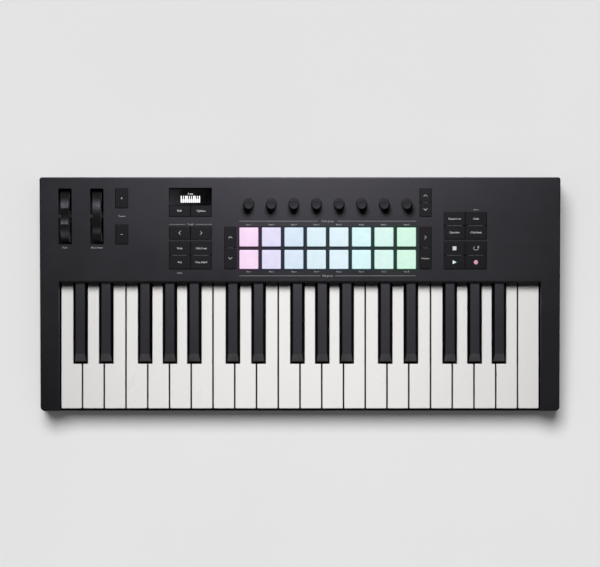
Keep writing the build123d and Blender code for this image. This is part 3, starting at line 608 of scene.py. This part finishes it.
# ---- printing ----
def make_panel_print():
    """Names and lines printed on the control panel."""
    white, dim = bmesh.new(), bmesh.new()
    wheels_y = middle(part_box("pitch_wheel")).y

    def label(text, x, y, size=LABEL_SIZE):
        words(white, on_panel(x, y), text, size)

    for text, wheel in (("Pitch", "pitch_wheel"), ("Mod wheel", "mod_wheel")):
        label(text, middle(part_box(wheel)).x, wheels_y - mm(WHEEL_LABEL_DROP))
    octave = CAPS["octave"]
    label("Octave", octave[0].x, (octave[0].y + octave[1].y) / 2)
    screen = middle(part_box("display_module"))
    track_y = CAPS["track"][0].y + mm(TRACK_LABEL_RISE)
    label("Track", screen.x, track_y)
    for side in (-1, 1):
        bar(dim, on_panel(screen.x + side * mm(TRACK_LINE_X), track_y), TRACK_LINE_LENGTH, LINE_T)
    label("Latch", CAPS["mode"][0].x, CAPS["mode"][1].y - mm(LATCH_LABEL_DROP), SIDE_LABEL_SIZE)
    label("Redo", CAPS["edit"][2].x, CAPS["edit"][2].y + mm(REDO_LABEL_RISE), SIDE_LABEL_SIZE)

    first, last = KNOB_SPOTS[0].x, KNOB_SPOTS[-1].x
    centre = (first + last) / 2
    reach = (last - first) / 2 + mm(PAD_SIDE / 2)
    pads_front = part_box("pad_mat")[0].y
    for text, y, half_gap in (
        ("Knob group", KNOB_SPOTS[0].y - mm(KNOB_GROUP_DROP), mm(KNOB_GROUP_HALF_GAP)),
        ("Pad group", pads_front - mm(PAD_GROUP_DROP), mm(PAD_GROUP_HALF_GAP)),
    ):
        label(text, centre, y)
        for side in (-1, 1):
            length = reach - half_gap
            bar(dim, on_panel(centre + side * (half_gap + length / 2), y), length * 1000, LINE_T)
    for number, spot in enumerate(KNOB_SPOTS, start=1):
        label(f"Bank {number}", spot.x, KNOB_SPOTS[0].y - mm(BANK_LABEL_DROP), SMALL_LABEL_SIZE)
        label(f"Part {number}", spot.x, pads_front - mm(PART_LABEL_DROP), SMALL_LABEL_SIZE)
    piece("panel_lettering", white, MATERIALS["label_ink"], "case")
    piece("panel_lines", dim, MATERIALS["dim_ink"], "case")


def make_rear_print():
    """Names of the sockets on the back wall, read from behind."""
    bm = bmesh.new()
    wall_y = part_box("top_case")[1].y
    facing = Matrix(((-1, 0, 0), (0, 0, 1), (0, 1, 0))).to_4x4()
    for text, (x, z) in REAR_LABELS.items():
        words(bm, Matrix.Translation((mm(x), wall_y, mm(z))) @ facing, text)
    piece("rear_lettering", bm, MATERIALS["label_ink"], "case")


def make_dividers():
    """Slim ribs that show between the rows of caps in one opening."""
    bm = bmesh.new()
    height = mm(BUTTON_TOP - DIVIDER_DROP)
    for group in ("mode", "edit", "transport"):
        top_left, low_left, top_right = CAPS[group][:3]
        y = (top_left.y + low_left.y) / 2
        for cap in (top_left, top_right):
            bar(bm, on_panel(cap.x, y, height), LONG_DIVIDER, DIVIDER_W, DIVIDER_H)
    for group in ("pad_scroll", "knob_scroll", "launch"):
        upper, lower = CAPS[group]
        y = (upper.y + lower.y) / 2
        bar(bm, on_panel(upper.x, y, height), SHORT_DIVIDER, DIVIDER_W, DIVIDER_H)
    piece("button_dividers", bm, MATERIALS["divider"], "case")


def chevron(bm, matrix, way):
    """An arrow head: way is up, down, left or right."""
    turn = {"up": 90, "down": -90, "left": 180, "right": 0}[way]
    place = matrix @ Matrix.Rotation(math.radians(turn), 4, "Z")
    reach = CHEVRON_REACH
    stroke(bm, place, [(-reach / 2, reach), (reach / 2, 0), (-reach / 2, -reach)])


def make_button_print():
    """Signs and names on the caps, riding with each group."""
    left, right = bmesh.new(), bmesh.new()

    def cap(group, index):
        spot = CAPS[group][index]
        return on_panel(spot.x, spot.y, mm(BUTTON_TOP))

    across = [(-PLUS_REACH, 0), (PLUS_REACH, 0)]
    stroke(left, cap("octave", 0), across)
    stroke(left, cap("octave", 0), [(0, -PLUS_REACH), (0, PLUS_REACH)])
    stroke(left, cap("octave", 1), across)
    for index, text in enumerate(("Shift", "Options")):
        words(left, cap("screen", index), text, BUTTON_LABEL_SIZE)
    for index, way in enumerate(("left", "right")):
        chevron(left, cap("track", index), way)
    for index, text in enumerate(("Scale", "Arp", "Chord set", "One chord")):
        words(left, cap("mode", index), text, BUTTON_LABEL_SIZE)
    for group, target in (("pad_scroll", left), ("knob_scroll", right)):
        for index, way in enumerate(("up", "down")):
            chevron(target, cap(group, index), way)
    chevron(right, cap("launch", 0), "right")
    words(right, cap("launch", 1), "Function", SIDE_LABEL_SIZE)
    for index, text in enumerate(("Capture on", "Quantise", "Undo", "Click beat")):
        words(right, cap("edit", index), text, BUTTON_LABEL_SIZE)
    flat_shape(right, cap("transport", 0), rounded_ring(STOP_SIDE, STOP_SIDE, 0.2, 2))
    loop_sign(right, cap("transport", 2))
    piece("left_button_signs", left, MATERIALS["ink"], "left_buttons")
    piece("right_button_signs", right, MATERIALS["ink"], "right_buttons")
    play, record = bmesh.new(), bmesh.new()
    flat_shape(play, cap("transport", 1), [(-1.9, -2.1), (2.2, 0), (-1.9, 2.1)])
    flat_shape(record, cap("transport", 3), circle(RECORD_R))
    piece("play_sign", play, MATERIALS["play_ink"], "right_buttons")
    piece("record_sign", record, MATERIALS["record_ink"], "right_buttons")


def loop_sign(bm, matrix):
    """A flat ring with a gap and an arrow head."""
    outline = rounded_ring(5.0, 3.2, 1.5, 6)
    start, left_out = 9, 4  # points of the outline
    path = [outline[(start + i) % len(outline)] for i in range(len(outline) - left_out)]
    stroke(bm, matrix, path, LOOP_STROKE)
    x, y = path[-1]
    flat_shape(bm, moved(matrix, x + 0.2, y), [(0, -1.3), (1.5, 0), (0, 1.3)])


def make_screen():
    """What the small screen shows: a row of keys and a chord name, as lit pixels."""
    bm = bmesh.new()
    low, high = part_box("display_module")
    centre = on_panel(middle((low, high)).x, high.y - mm(SCREEN_DROP), -mm(SCREEN_SINK))
    key_w, key_h, gap, black_w = 2.1, 7.4, 0.4, 1.3
    count, black_after = 10, (0, 1, 3, 4, 5, 7, 8)
    for i in range(count):
        left = (i - count / 2) * key_w
        right = left + key_w
        place = moved(centre, (left + right) / 2, -key_h / 4)
        flat_shape(bm, place, rounded_ring(key_w - gap, key_h / 2, 0.15, 2))
        left += black_w / 2 if i - 1 in black_after else gap / 2
        right -= black_w / 2 if i in black_after else gap / 2
        place = moved(centre, (left + right) / 2, key_h / 4 - 0.2)
        flat_shape(bm, place, rounded_ring(right - left, key_h / 2, 0.1, 2))
    words(bm, moved(centre, 0, 5.6), "C maj", SMALL_LABEL_SIZE)
    piece("screen_pixels", bm, MATERIALS["pixels"], "case")


# ---- stage ----
def make_stage():
    bm = bmesh.new()
    half = FLOOR_HALF
    corners = [(-half, -half), (half, -half), (half, half), (-half, half)]
    bm.faces.new([bm.verts.new((x, y, 0)) for x, y in corners])
    mesh = bpy.data.meshes.new("floor")
    bm.to_mesh(mesh)
    bm.free()
    s = Shader("floor_paper", Roughness=0.9, Specular_IOR_Level=0.0)
    stops = [(0.3, grey(FLOOR_ALBEDO * 0.99)), (0.7, grey(FLOOR_ALBEDO * 1.01))]
    s.colour(s.ramp(s.noise(3, 2), stops))
    mesh.materials.append(s.material)
    floor = bpy.data.objects.new("floor", mesh)
    bpy.context.scene.collection.objects.link(floor)
    return floor


def add_light(name, kind, place, receivers, reach, at=(0, 0, 0), blockers=(), **settings):
    """A light that reaches only some objects, and only their matte or only their glossy side."""
    light = bpy.data.lights.new(name, kind)
    for key, value in settings.items():
        setattr(light, key, value)
    shown = bpy.data.objects.new(name, light)
    shown.location = Vector(place)
    shown.rotation_euler = (Vector(place) - Vector(at)).to_track_quat("Z", "Y").to_euler()
    shown.visible_diffuse = reach != GLOSSY
    shown.visible_glossy = reach != DIFFUSE
    bpy.context.scene.collection.objects.link(shown)
    lit = bpy.data.collections.new(name + "_lights")
    for thing in receivers:
        lit.objects.link(thing)
    shown.light_linking.receiver_collection = lit
    if blockers:
        shading = bpy.data.collections.new(name + "_shades")
        for thing in blockers:
            shading.objects.link(thing)
        shown.light_linking.blocker_collection = shading


def metres(place):
    return [mm(length) for length in place]


def make_lights(floor):
    things = [o for o in bpy.context.scene.objects if o.type == "MESH" and o != floor]
    key = {"energy": KEY_STRENGTH, "size": mm(KEY_SIZE), "spread": math.radians(KEY_SPREAD), "color": WARM}
    add_light("key", "AREA", metres(KEY_FROM), things, DIFFUSE, metres(KEY_AT), **key)
    sheen = {"energy": SHEEN_STRENGTH, "size": mm(SHEEN_SIZE), "color": COOL}
    wheels = [frame["nodes"][name] for name in ("pitch_wheel", "mod_wheel")]
    ivory = [frame["nodes"][name] for name in WHITE_KEYS]
    shades = [thing for thing in things if thing not in wheels]
    dark = [thing for thing in shades if thing not in ivory]
    add_light("sheen", "AREA", metres(SHEEN_FROM), dark, GLOSSY, metres(SHEEN_AT), shades, **sheen)
    sheen["energy"] *= WHITE_SHEEN_SHARE
    add_light("white_sheen", "AREA", metres(SHEEN_FROM), ivory, GLOSSY, metres(SHEEN_AT), shades, **sheen)
    card = {"energy": CARD_STRENGTH, "size": mm(CARD_SIZE), "color": COOL}
    window = [frame["nodes"]["display_module"]]
    add_light("card", "AREA", metres(CARD_FROM), window, GLOSSY, metres(CARD_AT), **card)
    slopes = [frame["nodes"][name] for name in BLACK_KEYS]
    suns = {"rim": (RIM_SUN, wheels), "lip": (LIP_SUN, wheels), "front": (FRONT_SUN, slopes)}
    for name, ((place, angle, strength), receivers) in suns.items():
        sun = {"energy": strength, "angle": math.radians(angle), "color": COOL}
        add_light(name, "SUN", place, receivers, GLOSSY, **sun)
    floor_key = {"energy": FLOOR_KEY_STRENGTH, "angle": math.radians(FLOOR_KEY_ANGLE)}
    add_light("floor_key", "SUN", FLOOR_KEY_FROM, [floor], DIFFUSE, **floor_key)
    floor_fill = {"energy": FLOOR_FILL_STRENGTH, "angle": math.radians(FLOOR_FILL_ANGLE)}
    add_light("floor_fill", "SUN", (0, 0, 1), [floor], DIFFUSE, **floor_fill)
    world = bpy.data.worlds.new("studio")
    bpy.context.scene.world = world
    world.use_nodes = True
    tree = world.node_tree
    background = tree.nodes["Background"]
    background.inputs["Color"].default_value = (1, 1, 1, 1)
    path = tree.nodes.new("ShaderNodeLightPath")
    span = tree.nodes.new("ShaderNodeMapRange")
    span.inputs["To Min"].default_value = AMBIENT
    span.inputs["To Max"].default_value = BACKDROP_TONE
    tree.links.new(path.outputs["Is Camera Ray"], span.inputs["Value"])
    tree.links.new(span.outputs["Result"], background.inputs["Strength"])


def make_camera():
    lens = bpy.data.cameras.new("camera")
    lens.lens = LENS
    lens.sensor_width = SENSOR
    lens.clip_start, lens.clip_end = 0.1, 50.0
    camera = bpy.data.objects.new("camera", lens)
    distance = mm(VIEW_WIDTH) * LENS / SENSOR
    camera.location = (0, mm(VIEW_CENTRE_Y), mm(VIEW_PLANE_Z) + distance)
    bpy.context.scene.collection.objects.link(camera)
    bpy.context.scene.camera = camera


def cap_groups():
    """The middles of the caps, by group. Each group runs down its columns from the left."""
    left = [middle(box) for box in islands("left_buttons")]
    right = [middle(box) for box in islands("right_buttons")]
    groups = {"octave": left[:2], "pad_scroll": left[10:12]}
    first, second = left[2:6], left[6:10]
    groups["screen"] = [first[0], second[0]]
    groups["track"] = [first[1], second[1]]
    groups["mode"] = first[2:] + second[2:]
    groups["knob_scroll"], groups["launch"] = right[0:2], right[2:4]
    first, second = right[4:8], right[8:12]
    groups["edit"] = first[:2] + second[:2]
    groups["transport"] = first[2:] + second[2:]
    return groups


MATERIALS = {
    "case": moulded_plastic("case_plastic", 0.006, 0.5, grain=0.03),
    "divider": moulded_plastic("divider_plastic", 0.09, 0.55),
    "chassis": moulded_plastic("chassis_plastic", 0.02, 0.6),
    "white_key": key_plastic("white_key_plastic", 0.83, (1.0, 0.992, 0.988), 0.3),
    "black_key": black_key_plastic(),
    "knob": rubber("knob_rubber", 0.008, 0.55),
    "wheel": wheel_rubber(),
    "button": rubber("button_rubber", 0.003, 0.6, gloss=0.22),
    "foot": rubber("foot_rubber", 0.02, 0.8, grain=0.06),
    "glass": window_glass(),
    "board": board_material(),
    "spring": metal("spring_steel", 0.55, 0.35, (0.1, 1, 1)),
    "screw": metal("blackened_steel", 0.12, 0.45, (1, 1, 1)),
    "socket": socket_material(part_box("rear_sockets")[0].x + mm(12)),
    "ink": ink("white_ink", 0.6, glow=0.05),
    "label_ink": ink("label_ink", 0.36),
    "dim_ink": ink("grey_ink", 0.14),
    "pixels": ink("screen_light", 0.2, glow=1.0),
    "play_ink": ink("play_light", 0.6, glow=0.35, colour=(0.82, 1.0, 0.93)),
    "record_ink": ink("record_light", 0.5, glow=0.25, colour=(1.0, 0.45, 0.62)),
}
PAD_MATERIALS = [lit_silicone(f"pad_light_{n}", shown) for n, shown in enumerate(PAD_COLOURS, start=1)]
# the painted glow of each pad's light on the panel round it
PAINTED_SPILL_MATERIALS = [painted_pad_glow(f"painted_pad_spill_{n}", shown) for n, shown in enumerate(PAD_COLOURS, start=1)]
CAPS = cap_groups()

WHITE_KEYS = [n for n in frame["nodes"] if n.startswith("white_key")]
BLACK_KEYS = [n for n in frame["nodes"] if n.startswith("black_key")]
FINISHES = {
    "white_key": WHITE_KEYS,
    "black_key": BLACK_KEYS,
    "case": ["top_case", "bottom_case"],
    "chassis": ["key_chassis", "wheel_bracket"],
    "wheel": ["pitch_wheel", "mod_wheel"],
    "button": ["left_buttons", "right_buttons"],
    "foot": ["rubber_feet"],
    "glass": ["display_module"],
    "board": ["circuit_boards"],
    "spring": ["key_springs"],
    "screw": ["case_screws"],
    "socket": ["rear_sockets"],
}
for finish, nodes in FINISHES.items():
    paint_cad(MATERIALS[finish], nodes)

make_camera()
make_pads()
make_knobs()
make_panel_print()
make_rear_print()
make_dividers()
make_button_print()
make_screen()
make_lights(make_stage())

scene = bpy.context.scene
scene.view_settings.view_transform = "Standard"
scene.view_settings.look = "None"
